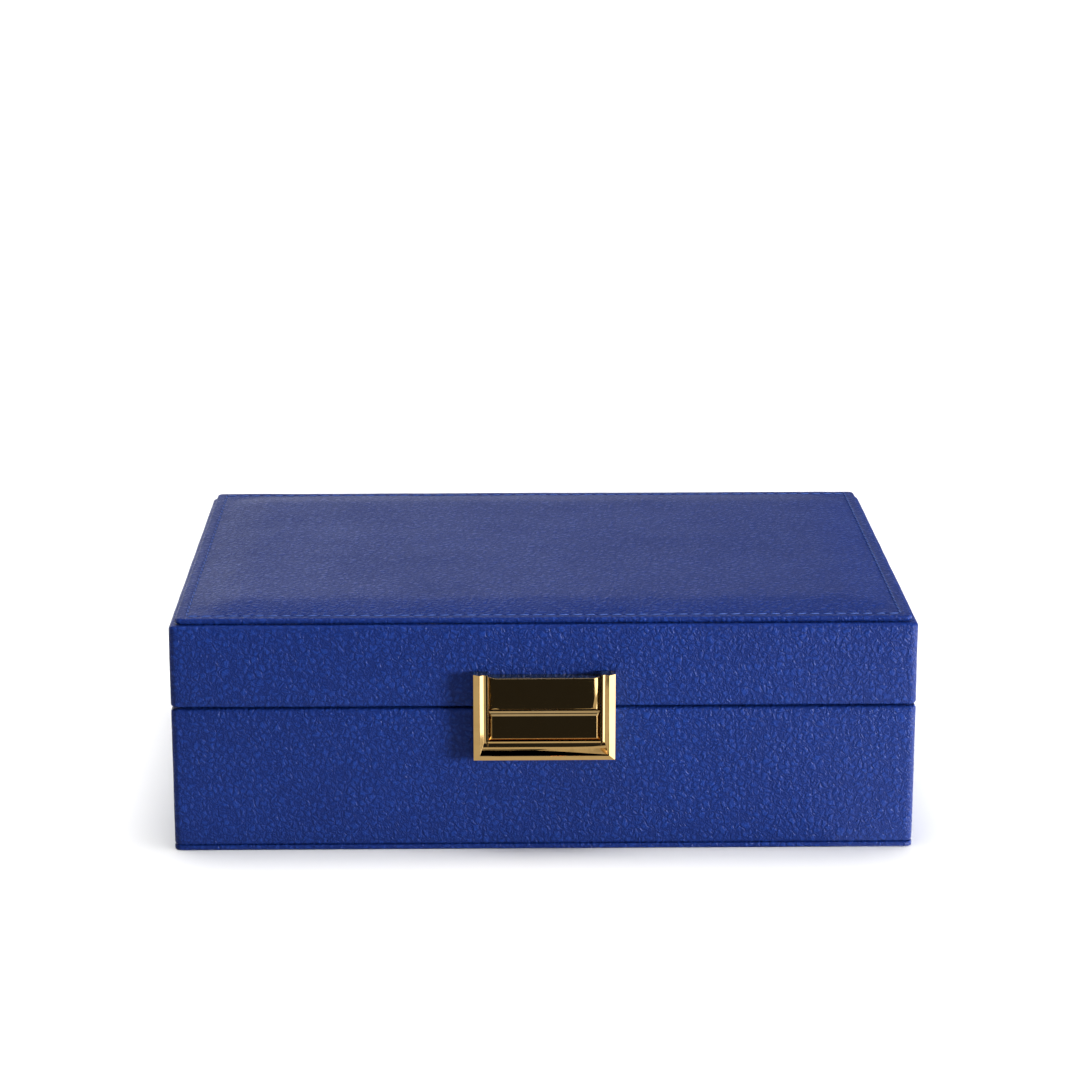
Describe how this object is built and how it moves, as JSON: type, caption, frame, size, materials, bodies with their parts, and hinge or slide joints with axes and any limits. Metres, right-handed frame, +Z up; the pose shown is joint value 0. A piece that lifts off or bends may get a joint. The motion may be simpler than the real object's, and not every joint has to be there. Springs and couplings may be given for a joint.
{
  "type": "jewellery box",
  "caption": "Low rectangular jewellery case covered in grained leather, with a padded hinged lid, a push-button clasp, ring rolls and lined compartments.",
  "frame": {"origin": "centre of the flat underside", "axes": "+Z up, +X along the long side to the right as seen from the lock, -Y towards the lock"},
  "size_m": [0.23, 0.1749, 0.076],
  "materials": {
    "blue_leather": "satin pebble grain",
    "polished_gold": "polished gold plate",
    "hinge_brass": "satin brass",
    "plated_steel": "nickel plated",
    "spring_steel": "bright spring steel",
    "suede_lining": "soft short nap",
    "wood_board": "sanded, uncoated",
    "card": "grey card, uncoated",
    "foam": "open foam sheet",
    "thread": "waxed thread",
    "mirror_glass": "silvered glass"
  },
  "bodies": {
    "base": {"base_front_board": "wood_board", "base_rear_board": "wood_board", "base_left_board": "wood_board", "base_right_board": "wood_board", "base_front_lining": "suede_lining", "base_rear_lining": "suede_lining", "base_left_lining": "suede_lining", "base_right_lining": "suede_lining", "bottom_board": "wood_board", "bottom_card": "card", "bottom_cover": "blue_leather", "base_cover": "blue_leather", "floor_pad": "suede_lining", "long_divider": "suede_lining", "ring_divider": "suede_lining", "cross_divider_left": "suede_lining", "cross_divider_right": "suede_lining", "ring_roll_1": "suede_lining", "ring_roll_2": "suede_lining", "ring_roll_3": "suede_lining", "ring_roll_4": "suede_lining", "ring_roll_5": "suede_lining", "ring_roll_6": "suede_lining", "ring_roll_7": "suede_lining", "ring_roll_8": "suede_lining", "hinge_left_base_leaf": "hinge_brass", "hinge_right_base_leaf": "hinge_brass", "hinge_left_pin": "hinge_brass", "hinge_right_pin": "hinge_brass", "hinge_base_screws": "hinge_brass", "lock_frame": "polished_gold", "lock_backing_plate": "plated_steel", "lock_screws": "plated_steel", "button_spring_left": "spring_steel", "button_spring_right": "spring_steel"},
    "lid": {"lid_front_board": "wood_board", "lid_rear_board": "wood_board", "lid_left_board": "wood_board", "lid_right_board": "wood_board", "lid_top_board": "wood_board", "lid_lining": "suede_lining", "lid_cover": "blue_leather", "top_card": "card", "top_padding": "foam", "top_cover": "blue_leather", "top_stitching": "thread", "lid_panel": "suede_lining", "mirror": "mirror_glass", "hinge_left_lid_leaf": "hinge_brass", "hinge_right_lid_leaf": "hinge_brass", "hinge_lid_screws": "hinge_brass", "hasp_plate": "polished_gold", "hasp_backing_plate": "plated_steel", "hasp_screws": "plated_steel", "catch_spring": "spring_steel", "catch_rivets": "plated_steel"},
    "button": {"push_button": "polished_gold", "button_retainers": "spring_steel"}
  },
  "joints": [
    {"name": "lid_hinge", "type": "hinge", "parent": "base", "child": "lid", "pos_m": [0, 0.0837, 0.04615], "axis": [-1, 0, 0], "range_deg": [0, 96], "deforming": ["catch_spring"]},
    {"name": "button_press", "type": "slide", "parent": "base", "child": "button", "axis": [0, 1, 0], "range_m": [0, 0.001], "stiffness_N_per_m": 800, "springref_m": -0.0008, "deforming": ["button_spring_left", "button_spring_right"]}
  ]
}
